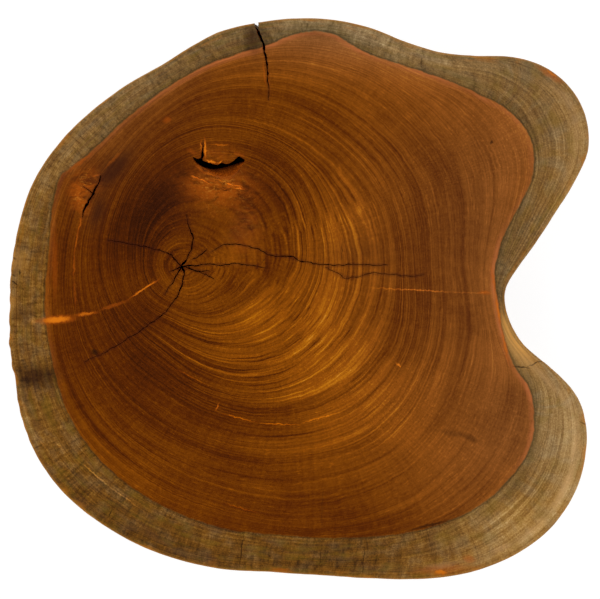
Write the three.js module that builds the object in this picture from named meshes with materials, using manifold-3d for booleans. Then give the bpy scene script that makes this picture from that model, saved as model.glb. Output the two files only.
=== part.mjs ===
// A live-edge wooden board: one slice sawn across a tree trunk, with its bark off.
// Millimetres, +Z up. The underside lies on z = 0 and +X runs along the longer side.
// Places on the face are x, y from the middle of the board.
import Module from 'manifold-3d';
import * as THREE from 'three';
import { mergeVertices } from 'three/addons/utils/BufferGeometryUtils.js';

const BOARD_THICKNESS = 36;
const ARRIS = 1.5; // the sanded edge, where the faces meet the natural rim
const ARRIS_STEPS = 3;
const RIM_STEPS = 260; // straight pieces round the rim, about 5 mm each
const OVERCUT = 2; // how far a cut's tool runs past the face

const KNOT_DEPTH = 20;
const BARK_POCKET_DEPTH = 14;
const HEART_CHECK_DEPTH = 8;
const LONG_CHECK_DEPTH = 6;

// The rim, counter-clockwise from the bay on the right: the big upper right lobe, the long top,
// the straighter left side, the bottom and the lower right lobe.
const RIM = [
  [158.5, 22.5], [171.5, 40.5], [184.5, 60.5], [198.5, 83], [209, 107], [208, 129], [199, 149],
  [182.5, 165], [158.5, 174.5], [126.5, 176], [101.5, 178.5], [78, 185.5], [55, 195], [31, 201],
  [7, 203], [-16, 202], [-37.5, 198.5], [-57.5, 193.5], [-76, 184], [-97.5, 170.5], [-125, 155],
  [-153.5, 133.5], [-177, 109], [-194, 81], [-203.5, 50], [-208.5, 18.5], [-209.5, -15],
  [-209.5, -38], [-205.5, -59], [-204, -72], [-193, -106.5], [-173, -137], [-141.5, -163.5],
  [-102.5, -183.5], [-58, -195], [-21.5, -197.5], [19, -200], [50.5, -202], [85, -202.5],
  [121, -198], [154.5, -185.5], [182.5, -164.5], [201, -135.5], [208, -101.5], [204, -76.5],
  [196, -63], [181, -48.5], [160, -29.5], [149.5, -6], [149.5, 6.5],
];

// Each split follows a line of [x, y, width].
const RIM_CHECK = [
  [-32, 206, 4.6], [-31, 200, 3.6], [-30.3, 195.2, 2.8], [-28.5, 190.2, 2.5], [-25.7, 182, 1.9],
  [-24.1, 173.6, 1.6], [-22.9, 166.8, 1.4], [-22.3, 157.8, 1], [-22, 143.4, 0.5],
];

// The dead branch's socket: a crescent, and the slit that runs up from its left end.
const KNOT_CRESCENT = [
  [-76.5, 102.5, 0.8], [-73, 99.8, 4.2], [-67.8, 96.6, 3.6], [-61, 95.6, 3.4], [-55, 95.3, 4.2],
  [-49, 96.1, 4.6], [-44.5, 98.8, 5.2], [-41, 100.3, 3.6], [-39.3, 100, 0.8],
];
const KNOT_SLIT = [[-70.4, 98.5, 2.4], [-69.6, 103.5, 1.8], [-69.1, 108.5, 1.2], [-68.8, 113, 0.4]];

// A pocket where bark was once grown over, with a short crack into the wood on its left.
const BARK_POCKET = [
  [-142.9, 89.1, 0.8], [-145.1, 82.5, 1.4], [-148.4, 76.4, 2.2], [-151.7, 69.8, 2.6],
  [-153.4, 66.6, 2.2], [-155.5, 62.9, 1.4], [-156.2, 58.8, 0.8],
];
const BARK_POCKET_BRANCH = [[-155.3, 80.8, 0.5], [-152, 78.5, 0.8], [-148.6, 76.2, 0.9]];

// Drying checks that fan out from the pith.
const HEART_CHECKS = [
  [[-84.6, 23.4, 1.6], [-80.2, 30, 1], [-77.4, 36.1, 1], [-76.4, 43.2, 1.1], [-77.1, 47.3, 1.2],
    [-79.2, 51.8, 0.8], [-81.4, 61.2, 0.4]],
  [[-85.8, 23, 1.6], [-75.7, 24, 0.9], [-63.5, 25.2, 0.8], [-58.4, 24.2, 0.8], [-47.3, 25.6, 0.7],
    [-42.2, 25, 0.7], [-32, 23.5, 0.5], [-25, 22.5, 0.3]],
  [[-85.6, 23.6, 1.4], [-78.2, 21.7, 1], [-70.6, 18.9, 0.9], [-65.5, 16.4, 0.8], [-61.4, 14.4, 0.5]],
  [[-84.6, 24, 1.6], [-82.7, 17.9, 1.1], [-83.7, 11.9, 1.1], [-88, 0.7, 0.9], [-96.5, -9.4, 0.8],
    [-110.9, -20.9, 0.6], [-125.3, -29.5, 0.5], [-143.4, -40.3, 0.4]],
  [[-83.6, 22, 1.4], [-91.5, 31, 1], [-100.1, 35.3, 0.8], [-114.5, 38.2, 0.6], [-128.9, 41.1, 0.5]],
  [[-84, 24, 1.4], [-90.8, 12.2, 0.7], [-96.5, 3.6, 0.3]],
];

// The long check across the rings on the right of the heart.
const LONG_CHECK = [
  [-62.5, 34.4, 0.3], [-54.4, 38.9, 0.6], [-47.8, 39.4, 0.7], [-36.2, 38.1, 0.7], [-27.6, 34.9, 0.7],
  [-21, 32.1, 0.7], [-15, 30.8, 0.8], [-4.1, 30.7, 0.8], [1, 27, 0.8], [17.9, 24.8, 0.8],
  [43.7, 24.6, 0.6], [63.5, 24.4, 0.3],
];

/** A solid with its vertices merged, ready to cut or be cut. */
function toSolid(wasm, geometry) {
  geometry.deleteAttribute('normal');
  geometry.deleteAttribute('uv');
  const merged = mergeVertices(geometry);
  const vertProperties = new Float32Array(merged.attributes.position.array);
  const triVerts = new Uint32Array(merged.index.array);
  return new wasm.Manifold(new wasm.Mesh({ numProp: 3, vertProperties, triVerts }));
}

/** A geometry for drawing, from a cut solid. */
function toGeometry(solid) {
  const mesh = solid.getMesh();
  const geometry = new THREE.BufferGeometry();
  geometry.setAttribute('position', new THREE.BufferAttribute(mesh.vertProperties, 3));
  geometry.setIndex(new THREE.BufferAttribute(mesh.triVerts, 1));
  geometry.computeVertexNormals();
  return geometry;
}

/** The whole slice: the rim's curve made as thick as the board, with its edges eased. */
function slice() {
  const corners = RIM.map(([x, y]) => new THREE.Vector3(x, y, 0));
  const curve = new THREE.CatmullRomCurve3(corners, true, 'centripetal');
  curve.arcLengthDivisions = RIM.length * 40;
  const points = curve.getSpacedPoints(RIM_STEPS).slice(0, RIM_STEPS);
  const outline = new THREE.Shape(points.map((point) => new THREE.Vector2(point.x, point.y)));
  const geometry = new THREE.ExtrudeGeometry(outline, {
    depth: BOARD_THICKNESS - 2 * ARRIS,
    bevelEnabled: true,
    bevelThickness: ARRIS,
    bevelSize: ARRIS,
    bevelOffset: -ARRIS,
    bevelSegments: ARRIS_STEPS,
  });
  geometry.translate(0, 0, ARRIS);
  return geometry;
}

/** The space of a split that follows a line and reaches down to a depth below the top face. */
function split(line, depth) {
  const left = [];
  const right = [];
  line.forEach(([x, y, width], i) => {
    const [x0, y0] = line[Math.max(i - 1, 0)];
    const [x1, y1] = line[Math.min(i + 1, line.length - 1)];
    const across = new THREE.Vector2(y0 - y1, x1 - x0).setLength(width / 2);
    left.push(new THREE.Vector2(x + across.x, y + across.y));
    right.unshift(new THREE.Vector2(x - across.x, y - across.y));
  });
  const geometry = new THREE.ExtrudeGeometry(new THREE.Shape([...left, ...right]), {
    depth: depth + OVERCUT,
    bevelEnabled: false,
  });
  geometry.translate(0, 0, BOARD_THICKNESS - depth);
  return geometry;
}

const wasm = await Module();
wasm.setup();

const cuts = [
  split(RIM_CHECK, BOARD_THICKNESS + OVERCUT),
  split(KNOT_CRESCENT, KNOT_DEPTH),
  split(KNOT_SLIT, KNOT_DEPTH / 2),
  split(BARK_POCKET, BARK_POCKET_DEPTH),
  split(BARK_POCKET_BRANCH, BARK_POCKET_DEPTH / 2),
  ...HEART_CHECKS.map((line) => split(line, HEART_CHECK_DEPTH)),
  split(LONG_CHECK, LONG_CHECK_DEPTH),
];

let slabSolid = toSolid(wasm, slice());
for (const cut of cuts) {
  slabSolid = slabSolid.subtract(toSolid(wasm, cut));
}

const wood = new THREE.MeshStandardMaterial({ color: 0x8a4f1c, roughness: 0.5, metalness: 0 });
const slab = new THREE.Mesh(toGeometry(slabSolid), wood);
slab.name = 'wood_slab';

// The curve swings slightly past its points, so the slab is centred by its own box.
slab.geometry.computeBoundingBox();
const middle = slab.geometry.boundingBox.getCenter(new THREE.Vector3());
slab.position.set(-middle.x, -middle.y, 0);

const group = new THREE.Group();
group.name = 'wooden_board';
group.add(slab);

export default group;
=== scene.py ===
"""A live-edge wooden board from straight above: one slice of a trunk, dressed round its CAD solid.

Sizes are millimetres in the tables and metres in the meshes. Places on the face are x, y from the
middle of the board, as in the CAD part. A bearing is an angle about the pith, counter-clockwise
from +X.
"""

import logging
import math
from dataclasses import dataclass
from enum import Enum

import bmesh
import bpy
import numpy as np
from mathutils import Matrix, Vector, noise
from mathutils.bvhtree import BVHTree
from mathutils.kdtree import KDTree


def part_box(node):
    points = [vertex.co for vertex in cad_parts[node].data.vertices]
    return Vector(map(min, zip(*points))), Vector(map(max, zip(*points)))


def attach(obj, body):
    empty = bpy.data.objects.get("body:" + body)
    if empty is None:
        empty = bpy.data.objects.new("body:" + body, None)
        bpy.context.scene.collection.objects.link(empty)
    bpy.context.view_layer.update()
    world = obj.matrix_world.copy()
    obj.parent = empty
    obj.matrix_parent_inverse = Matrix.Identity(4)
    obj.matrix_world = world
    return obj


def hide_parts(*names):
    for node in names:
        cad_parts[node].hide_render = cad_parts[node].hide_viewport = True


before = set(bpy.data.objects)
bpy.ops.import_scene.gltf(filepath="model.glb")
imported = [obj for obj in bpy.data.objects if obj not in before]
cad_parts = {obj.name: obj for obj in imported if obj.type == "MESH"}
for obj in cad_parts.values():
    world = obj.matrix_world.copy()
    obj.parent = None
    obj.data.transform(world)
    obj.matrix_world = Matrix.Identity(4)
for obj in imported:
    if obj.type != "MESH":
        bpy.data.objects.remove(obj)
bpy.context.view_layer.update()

LOG = logging.getLogger("wooden_board")

MM = 0.001
NODE = "wood_slab"
BODY = "root"
SHARP_ANGLE = 38.0  # degrees, above which the light breaks at an edge

# The pith, which every ring grew round, in mm from the middle of the board.
PITH = (-84.6, 22.7)

# The rings' radii about the pith in mm, every 20 degrees of bearing from 0. Each is keyed by its age
# in mm of growth, counted along the bearing of 320 degrees, where the rings are wide.
RING_STEP = 20
KEY_RINGS = {
    29.0: (37, 38, 36, 33.5, 31.5, 30, 27.5, 25, 23, 21.5, 20.5, 20.5, 20.5, 21.5, 24, 26.5, 29, 33),
    59.7: (83, 88, 91, 87, 78, 66, 54, 43.5, 37, 34.5, 34.3, 34.5, 34, 35, 40.5, 50, 59.7, 71),
    97.0: (113, 113.2, 113.5, 107, 97.5, 83.5, 69, 57.5, 50.5, 47, 46, 46, 47, 51, 62.4, 80, 97, 108.7),
    112.3: (127.6, 124.2, 120.2, 113, 103.5, 88.5, 73.5, 62, 55.5, 52.5, 51, 51, 53, 59, 74.4, 96,
            112.3, 122.5),
    131.0: (149, 147, 137, 125.5, 113, 96, 79.5, 68, 61.5, 57.8, 56, 57, 61.5, 69.5, 88.2, 110.7, 131,
            144.5),
    154.5: (161.5, 159.5, 149.5, 138, 122.5, 102, 84.5, 74.5, 68.5, 65.5, 65.5, 69, 76, 86, 105.5,
            130.8, 154.5, 166.9),
    190.0: (186, 188, 176, 159, 137.5, 112, 94, 85.5, 80.5, 79.5, 83, 91, 102.5, 118, 138.5, 165, 190,
            193),
    229.0: (213, 224, 205.5, 180, 147.5, 120.5, 104, 97.5, 92, 90.5, 96.5, 109.5, 127.4, 147.2, 171.8,
            205, 229, 231),
}
RIM_AGE = 319.0
AGE_STEPS = 160
BEARING_STEP = 0.5
STRAIGHT_AGE = 12.0  # up to this age the rays run straight from the pith

# The bearings between which the rim check opens the rim.
RIM_CHECK_MOUTH = (71.4, 74.8)

# The line between heartwood and sapwood, in mm.
HEART_LINE = (
    (-22.3, 183), (2.2, 192), (24.5, 190.9), (46.8, 177.9), (74.2, 168.6), (101.6, 159.2), (129, 147.7),
    (151.3, 135.4), (165, 118.9), (169.3, 102.3), (166.4, 82.8), (157, 64.1), (148.4, 47.5), (143, 31),
    (140.5, 16.9), (143, -2.2), (147, -24.5), (154.2, -46.5), (166.4, -65.6), (169.3, -87.9),
    (166.4, -107.3), (154.2, -126.4), (134.7, -145.5), (115.3, -157), (87.9, -166.4), (60.5, -170.7),
    (18.7, -172.2), (-22.3, -169.3), (-49.7, -166.4), (-77.8, -158.1), (-105.2, -145.5),
    (-132.6, -126.4), (-154.9, -101.6), (-168.6, -77.1), (-176.8, -49), (-182.3, -18.7), (-183, 5.8),
    (-180.1, 36), (-178.2, 61.2), (-174, 82.8), (-170.7, 90.8), (-165.7, 92.9), (-146.2, 109.5),
    (-124.6, 129.7), (-99.4, 149.1), (-72, 165.7), (-44.7, 176.5), (-28.1, 180.8),
)


class Face(Enum):
    """The kinds of surface on the slice, in the order of its material slots."""

    END_GRAIN = 0
    LIVE_EDGE = 1
    RAW_SPLIT = 2


# How a torn line wanders: along x (0) or y (1), how far and over what length in mm, and its own noise.
RAGGED = ((0, 0.8, 5.1, 0.3), (0, 0.45, 2.1, 5.3), (1, 0.8, 4.3, 7.3), (1, 0.45, 2.4, 1.3))
# Its width: the mean and the swing as shares of the given one, the length in mm, and its own noise.
RAGGED_WIDTH = (0.8, 0.7, 2.3, 3.1)


@dataclass(frozen=True)
class Split:
    """A crack: a line of (x, y, width) in mm on the top face, and how deep it goes."""

    name: str
    line: tuple[tuple[float, float, float], ...]
    depth: float
    foot: float = 0.25  # how wide it is at its foot, as a share of its width at the top
    lean: float = 0.0  # how far in mm its foot lies towards +X

    def plan(self) -> np.ndarray:
        """Draws the line with a point about every mm, and as ragged as torn wood is.

        Returns:
            x, y and width of each point in mm, one row each.
        """
        step = 1.0  # mm
        coarse = np.array(self.line, float)
        lengths = np.hypot(*np.diff(coarse[:, :2], axis=0).T)
        along = np.concatenate(([0.0], np.cumsum(lengths)))
        count = max(int(along[-1] / step), 2)
        at = np.linspace(0, along[-1], count + 1)
        fine = np.column_stack([np.interp(at, along, coarse[:, k]) for k in range(3)])
        seed = self.line[0][0]
        mean, spread, wave, own = RAGGED_WIDTH
        for i in range(1, count):
            for axis, swing, length, layer in RAGGED:
                fine[i, axis] += swing * noise.noise(Vector((at[i] / length, seed, layer)))
            fine[i, 2] *= mean + spread * noise.noise(Vector((at[i] / wave, seed, own)))
        return fine

    def cutter(self, top: float) -> bpy.types.Object:
        """Makes the wedge of air that the crack takes out of the slice.

        Args:
            top: the height of the top face in metres.

        Returns:
            A closed mesh object, wide at the top and narrow at its foot.
        """
        above = 0.5  # mm over the face, so that the cut is clean
        line = self.plan()
        tangent = np.gradient(line[:, :2], axis=0)
        across = np.column_stack([-tangent[:, 1], tangent[:, 0]])
        across /= np.maximum(np.hypot(*across.T), 1e-9)[:, None]
        half = across * line[:, 2:3] / 2
        ring = np.concatenate([line[:, :2] + half, (line[:, :2] - half)[::-1]])
        middle = np.concatenate([line[:, :2], line[::-1, :2]])
        foot = middle + (ring - middle) * self.foot + (self.lean, 0)
        return space_between(self.name, ring, top + above * MM, foot, top - self.depth * MM)


SPLITS = (
    Split("rim_check", ((-32, 206, 4.2), (-31, 200, 3.3), (-30.3, 195.2, 2.8), (-28.5, 190.2, 2.5),
                        (-25.7, 182, 1.9), (-24.1, 173.6, 1.6), (-22.9, 166.8, 1.4), (-22.3, 157.8, 1),
                        (-22, 143.4, 0.4)), 38.0, 0.3, 3.6),
    Split("knot_slit", ((-70.4, 98.5, 2.4), (-69.6, 103.5, 1.8), (-69.1, 108.5, 1.2),
                        (-68.8, 113, 0.3)), 10.0),
    Split("bark_pocket", ((-142.9, 89.1, 0.8), (-145.1, 82.5, 1.4), (-148.4, 76.4, 2.2),
                          (-151.7, 69.8, 2.6), (-153.4, 66.6, 2.2), (-155.5, 62.9, 1.4),
                          (-156.2, 58.8, 0.6)), 14.0),
    Split("bark_branch", ((-155.3, 80.8, 0.4), (-152, 78.5, 0.8), (-148.6, 76.2, 0.9)), 7.0),
    Split("heart_up", ((-84.6, 23.4, 1.8), (-80.2, 30, 1), (-77.4, 36.1, 1), (-76.4, 43.2, 1.1),
                       (-77.1, 47.3, 1.3), (-79.2, 51.8, 0.8), (-81.4, 61.2, 0.4)), 8.0),
    Split("heart_right", ((-85.8, 23, 1.8), (-75.7, 24, 0.9), (-63.5, 25.2, 0.8), (-58.4, 24.2, 0.8),
                          (-47.3, 25.6, 0.7), (-42.2, 25, 0.7), (-32, 23.5, 0.5), (-25, 22.5, 0.3)), 8.0),
    Split("heart_low_right", ((-85.6, 23.6, 1.6), (-78.2, 21.7, 1), (-70.6, 18.9, 0.9),
                              (-65.5, 16.4, 0.8), (-61.4, 14.4, 0.5)), 8.0),
    Split("heart_low_left", ((-84.6, 24, 1.8), (-82.7, 17.9, 1.1), (-83.7, 11.9, 1.1), (-88, 0.7, 0.9),
                             (-96.5, -9.4, 0.7), (-110.9, -20.9, 0.6), (-125.3, -29.5, 0.5),
                             (-143.4, -40.3, 0.4), (-154.5, -45.5, 0.3)), 8.0),
    Split("heart_left", ((-83.6, 22, 1.6), (-91.5, 31, 1), (-100.1, 35.3, 0.8), (-114.5, 38.2, 0.6),
                         (-128.9, 41.1, 0.5), (-137.5, 42.5, 0.3)), 8.0),
    Split("heart_down", ((-84, 24, 1.6), (-90.8, 12.2, 0.7), (-96.5, 3.6, 0.3)), 8.0),
    Split("heart_stub", ((-84, 23.6, 1.6), (-88.5, 21.2, 1.1), (-93, 19.6, 0.3)), 6.0),
    Split("heart_fork", ((-79.5, 22.2, 0.4), (-75, 19.9, 0.9), (-68.5, 19.6, 0.8), (-64.5, 20.3, 0.3)), 5.0),
    Split("heart_short", ((-77.2, 28.5, 0.3), (-73.6, 29.8, 1), (-68, 34.1, 0.9), (-66.5, 35.5, 0.3)), 5.0),
    Split("long_check", ((-62.5, 34.4, 0.3), (-54.4, 38.9, 0.6), (-47.8, 39.4, 0.7), (-36.2, 38.1, 0.7),
                         (-27.6, 34.9, 0.7), (-21, 32.1, 0.7), (-15, 30.8, 0.8), (-4.1, 30.7, 0.8),
                         (1, 27, 0.8), (17.9, 24.8, 0.8), (43.7, 24.6, 0.6), (63.5, 24.4, 0.3)), 6.0),
    Split("second_check", ((19.4, 22.6, 0.25), (24.6, 20, 0.4), (30.4, 16.7, 0.45), (32.6, 14.5, 0.45),
                           (40, 16, 0.4), (54.7, 19.3, 0.5), (59.8, 17.8, 0.5), (70.1, 18.2, 0.45),
                           (73, 16.4, 0.4), (81.9, 16.4, 0.4), (87, 16.7, 0.35), (90, 17.8, 0.2)), 4.0),
)

# The socket of the dead branch, clockwise from its left tip: the torn upper lip, then the lower one.
KNOT_UPPER = (
    (-76.7, 102.3), (-73.5, 101.2), (-71, 101.6), (-70, 100), (-66.3, 98.7), (-62, 97.3), (-58.4, 96.9),
    (-56.2, 98.3), (-52.6, 97.4), (-49, 98.4), (-45.8, 100.9), (-43.4, 102.9), (-41.3, 101.9), (-38.8, 99.7),
)
KNOT_LOWER = (
    (-42.7, 98.5), (-48.3, 96.5), (-53.3, 95.1), (-59.1, 93.9), (-64.1, 93.9), (-69.2, 95.5), (-73.5, 98),
)
# Where the wood starts to slope down to each point of the lower lip.
KNOT_SCOOP = (
    (-41.2, 96), (-45.5, 91), (-51.5, 88.3), (-57.5, 88.4), (-63.5, 91), (-69.6, 94.6), (-74.2, 97.8),
)
KNOT_DEPTH = 20.0
SCOOP_DEPTH = 3.6


def new_object(name: str, mesh: bmesh.types.BMesh) -> bpy.types.Object:
    """Turns a bmesh into an object of the scene.

    Args:
        name: the object's name.
        mesh: the bmesh, which is freed.

    Returns:
        The object, at the origin, unturned and unscaled.
    """
    data = bpy.data.meshes.new(name)
    mesh.to_mesh(data)
    mesh.free()
    made = bpy.data.objects.new(name, data)
    bpy.context.scene.collection.objects.link(made)
    return made


def space_between(name: str, brim: np.ndarray, high: float, foot: np.ndarray, low: float) -> bpy.types.Object:
    """Makes a closed space to take out of the slice.

    Args:
        name: what it is called.
        brim: x, y in mm of the points round its top.
        high: the height of its top in metres.
        foot: x, y in mm of the points round its foot, as many as round its top.
        low: the height of its foot in metres.

    Returns:
        The closed mesh object.
    """
    mesh = bmesh.new()
    cap = mesh.faces.new([mesh.verts.new((x * MM, y * MM, high)) for x, y in brim])
    sunk = bmesh.ops.extrude_face_region(mesh, geom=[cap])
    corners = [item for item in sunk["geom"] if isinstance(item, bmesh.types.BMVert)]
    for vert, (x, y) in zip(corners, foot):
        vert.co = (x * MM, y * MM, low)
    bmesh.ops.triangulate(mesh, faces=mesh.faces[:])
    bmesh.ops.recalc_face_normals(mesh, faces=mesh.faces[:])
    return new_object(f"cutter_{name}", mesh)


def closed_curve(points: np.ndarray, between: int) -> np.ndarray:
    """Rounds a closed line with a Catmull-Rom curve.

    Args:
        points: the corners, one row each.
        between: how many points each stretch is drawn with.

    Returns:
        The points of the curve, one row each.
    """
    before = np.roll(points, 1, axis=0)
    after = np.roll(points, -1, axis=0)
    later = np.roll(points, -2, axis=0)
    t = np.linspace(0, 1, between, endpoint=False)[:, None, None]
    curve = 0.5 * (2 * points + (after - before) * t + (2 * before - 5 * points + 4 * after - later) * t**2
                   + (3 * points - before - 3 * after + later) * t**3)
    return curve.transpose(1, 0, 2).reshape(-1, points.shape[1])


def distance_to(places: np.ndarray, lines: list[np.ndarray]) -> np.ndarray:
    """How far each place is from the nearest of some lines.

    Args:
        places: x, y of each place in mm.
        lines: x, y of each corner of each line in mm.

    Returns:
        The distance of each place in mm.
    """
    step = 0.25  # mm
    points = []
    for line in lines:
        for a, b in zip(line, line[1:]):
            count = max(int(math.dist(a, b) / step), 1)
            points += [a + (b - a) * k / count for k in range(count + 1)]
    tree = KDTree(len(points))
    for i, (x, y) in enumerate(points):
        tree.insert((x, y, 0), i)
    tree.balance()
    return np.array([tree.find((x, y, 0))[2] for x, y in places])


@dataclass
class Growth:
    """How the trunk grew about its pith: every ring, from the first to the rim."""

    bearings: np.ndarray
    ages: np.ndarray
    radii: np.ndarray  # in mm, one row for each age and one column for each bearing

    @classmethod
    def from_frame(cls) -> "Growth":
        """Reads the rim from the CAD slab, and fills in the rings between the key rings.

        Returns:
            The growth of this trunk.
        """
        bearings = np.arange(0, 360, BEARING_STEP)
        known = [np.zeros(len(bearings))]
        for traced in KEY_RINGS.values():
            fine = closed_curve(np.array(traced, float)[:, None], RING_STEP)[:, 0]
            known.append(np.interp(bearings, np.arange(360), fine, period=360))
        known.append(rim_of_slab(bearings))
        ages = np.linspace(0, RIM_AGE, AGE_STEPS + 1)
        knots = np.array([0.0, *KEY_RINGS, RIM_AGE])
        return cls(bearings, ages, run_through(knots, np.array(known), ages))

    def read(self, rows: np.ndarray | slice, bearing: np.ndarray) -> np.ndarray:
        """Reads rings between their bearings.

        Args:
            rows: the row of the wanted ring for each bearing, or a slice of rows.
            bearing: bearings in degrees.

        Returns:
            The radius in mm of each ring at its bearing.
        """
        column = (bearing % 360) / BEARING_STEP
        left = column.astype(int)
        right = (left + 1) % len(self.bearings)
        beside = column - left
        return self.radii[rows, left] * (1 - beside) + self.radii[rows, right] * beside

    def radius(self, bearing: np.ndarray, age: np.ndarray) -> np.ndarray:
        """How far out the rings lie.

        Args:
            bearing: bearings in degrees.
            age: a ring's age in mm of growth for each bearing.

        Returns:
            The radius in mm of each ring at its bearing.
        """
        row = np.clip(age / RIM_AGE, 0, 1) * AGE_STEPS
        low = np.minimum(row.astype(int), AGE_STEPS - 1)
        above = row - low
        return self.read(low, bearing) * (1 - above) + self.read(low + 1, bearing) * above

    def age(self, places: np.ndarray) -> np.ndarray:
        """Which ring goes through each place.

        Args:
            places: x, y of each place in mm.

        Returns:
            The ring's age in mm of growth at each place.
        """
        bearing, radius = polar(places)
        rings = self.read(slice(None), bearing)
        low = np.clip((rings <= radius).sum(axis=0) - 1, 0, AGE_STEPS - 1)
        pick = np.arange(len(places))
        inner, outer = rings[low, pick], rings[low + 1, pick]
        share = np.clip((radius - inner) / np.maximum(outer - inner, 1e-6), 0, 1)
        return self.ages[low] + share * (self.ages[low + 1] - self.ages[low])

    def rim(self) -> np.ndarray:
        """The rim's line in mm, one row for each bearing."""
        return polar_to_place(self.bearings, self.radii[-1])

    def rays(self, count: int) -> np.ndarray:
        """Follows rays of the wood, which cross every ring squarely, from even steps of the rim inward.

        Args:
            count: how many rays there are.

        Returns:
            The bearing in degrees of each ray at each age, one row for each age.
        """
        rim = self.rim()
        pieces = np.hypot(*(np.roll(rim, -1, axis=0) - rim).T)
        along = np.concatenate(([0.0], np.cumsum(pieces)))
        starts = np.linspace(0, along[-1], count, endpoint=False)
        bearing = np.interp(starts, along, np.append(self.bearings, 360.0))
        rise = np.roll(self.radii, -1, axis=1) - np.roll(self.radii, 1, axis=1)
        lean = rise / math.radians(2 * BEARING_STEP)
        paths = [bearing]
        for k in range(AGE_STEPS, 0, -1):
            here = np.interp(bearing, self.bearings, self.radii[k], period=360)
            below = np.interp(bearing, self.bearings, self.radii[k - 1], period=360)
            slope = np.interp(bearing, self.bearings, lean[k], period=360)
            if self.ages[k] > STRAIGHT_AGE:
                bearing = bearing + np.degrees(slope * (here - below) / here**2)
            paths.append(bearing)
        return np.array(paths)[::-1]

    def beyond_heart(self, places: np.ndarray) -> np.ndarray:
        """How far each place lies beyond the heartwood.

        Args:
            places: x, y of each place in mm.

        Returns:
            The distance of each place in mm, less than 0 inside the heartwood.
        """
        line = closed_curve(np.array(HEART_LINE, float), 6)
        bearing, radius = polar(places)
        line_bearing, line_radius = polar(line)
        order = np.argsort(line_bearing)
        edge = np.interp(bearing, line_bearing[order], line_radius[order], period=360)
        return distance_to(places, [closed(line)]) * np.where(radius > edge, 1, -1)


def rim_of_slab(bearings: np.ndarray) -> np.ndarray:
    """Reads the CAD slab's rim, and carries it across the mouth of the rim check.

    Args:
        bearings: bearings in degrees.

    Returns:
        The rim's radius about the pith in mm at each bearing.
    """
    slab = BVHTree.FromObject(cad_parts[NODE], bpy.context.evaluated_depsgraph_get())
    lowest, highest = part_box(NODE)
    height = 0.5 * (lowest.z + highest.z)
    far = 1.0
    radii = np.zeros(len(bearings))
    for i, angle in enumerate(np.radians(bearings)):
        out = Vector((math.cos(angle), math.sin(angle), 0))
        start = Vector((PITH[0] * MM, PITH[1] * MM, height)) + out * far
        radii[i] = (far - slab.ray_cast(start, -out)[3]) / MM
    mouth = (bearings > RIM_CHECK_MOUTH[0]) & (bearings < RIM_CHECK_MOUTH[1])
    radii[mouth] = np.interp(bearings[mouth], bearings[~mouth], radii[~mouth])
    return radii


def run_through(knots: np.ndarray, rows: np.ndarray, at: np.ndarray) -> np.ndarray:
    """Runs a smooth curve through rows of rising values, which rises all the way.

    Args:
        knots: where each row is known.
        rows: the values there, one row each.
        at: where they are wanted.

    Returns:
        The values at those places, one row each.
    """
    step = np.diff(knots)[:, None]
    rise = np.maximum(np.diff(rows, axis=0) / step, 1e-4)
    slope = np.vstack([rise[:1], 2 / (1 / rise[:-1] + 1 / rise[1:]), rise[-1:]])
    k = np.clip(np.searchsorted(knots, at, side="right") - 1, 0, len(knots) - 2)
    t = (at[:, None] - knots[k, None]) / step[k]
    start = (1 + 2 * t) * (1 - t) ** 2 * rows[k] + t * (1 - t) ** 2 * step[k] * slope[k]
    return start + t**2 * (3 - 2 * t) * rows[k + 1] - t**2 * (1 - t) * step[k] * slope[k + 1]


def closed(line: np.ndarray) -> np.ndarray:
    """A line with its first point again at its end."""
    return np.vstack([line, line[:1]])


def polar(places: np.ndarray) -> tuple[np.ndarray, np.ndarray]:
    """The bearing in degrees and the radius in mm about the pith of places in mm."""
    dx, dy = places[:, 0] - PITH[0], places[:, 1] - PITH[1]
    return np.degrees(np.arctan2(dy, dx)) % 360, np.hypot(dx, dy)


@dataclass(frozen=True)
class Patch:
    """A soft oval on the face that adds to one of the wood's fields."""

    x: float
    y: float
    long: float  # half its length in mm, and half its width
    short: float
    turn: float  # in degrees from +X
    amount: float

    def at(self, places: np.ndarray) -> np.ndarray:
        """What the patch adds to its field.

        Args:
            places: x, y of each place in mm.

        Returns:
            What it adds at each place.
        """
        dx, dy = places[:, 0] - self.x, places[:, 1] - self.y
        angle = math.radians(self.turn)
        along = (dx * math.cos(angle) + dy * math.sin(angle)) / self.long
        across = (dy * math.cos(angle) - dx * math.sin(angle)) / self.short
        return self.amount * np.exp(-(along**2 + across**2))


def patches(*rows: tuple[float, ...]) -> tuple[Patch, ...]:
    """Makes a patch of each row of its numbers."""
    return tuple(Patch(*row) for row in rows)


# Where the heartwood is lighter or darker: its own tone, and partly painted light that is brighter to the
# lower right.
HEART_PATCHES = patches(
    (-112, 58, 44, 24, 60, -0.19), (-110, -52, 55, 34, -25, -0.10), (-60, -92, 45, 26, -10, -0.04),
    (20, -160, 90, 24, 0, -0.06), (6, -32, 62, 42, -40, 0.19), (104, -44, 34, 34, 0, 0.07),
    (70, -148, 60, 12, 0, 0.05), (-136, 110, 16, 10, 45, 0.05), (70, -100, 60, 40, -30, 0.06),
    (85, 155, 90, 26, -18, 0.13), (-5, 175, 60, 22, 0, 0.08), (-88, 92, 12, 18, 0, -0.05),
    (-37, 75, 6, 18, 0, -0.06), (152, 92, 20, 60, 0, 0.12), (40, 40, 34, 46, 0, 0.08),
    (130, -115, 50, 40, 0, 0.08), (138, 5, 12, 60, 0, 0.09), (146, -52, 14, 26, 0, 0.08),
    (-26, 82, 20, 34, 0, -0.06), (-113, -12, 26, 24, 0, -0.07), (56, 92, 30, 38, 0, 0.05),
    (-160, 20, 20, 70, 0, -0.03), (-20, 25, 34, 30, 0, 0.03), (-59, 64, 17, 24, 0, 0.01),
    (-24, 4, 32, 18, 0, -0.09),
)
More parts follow.
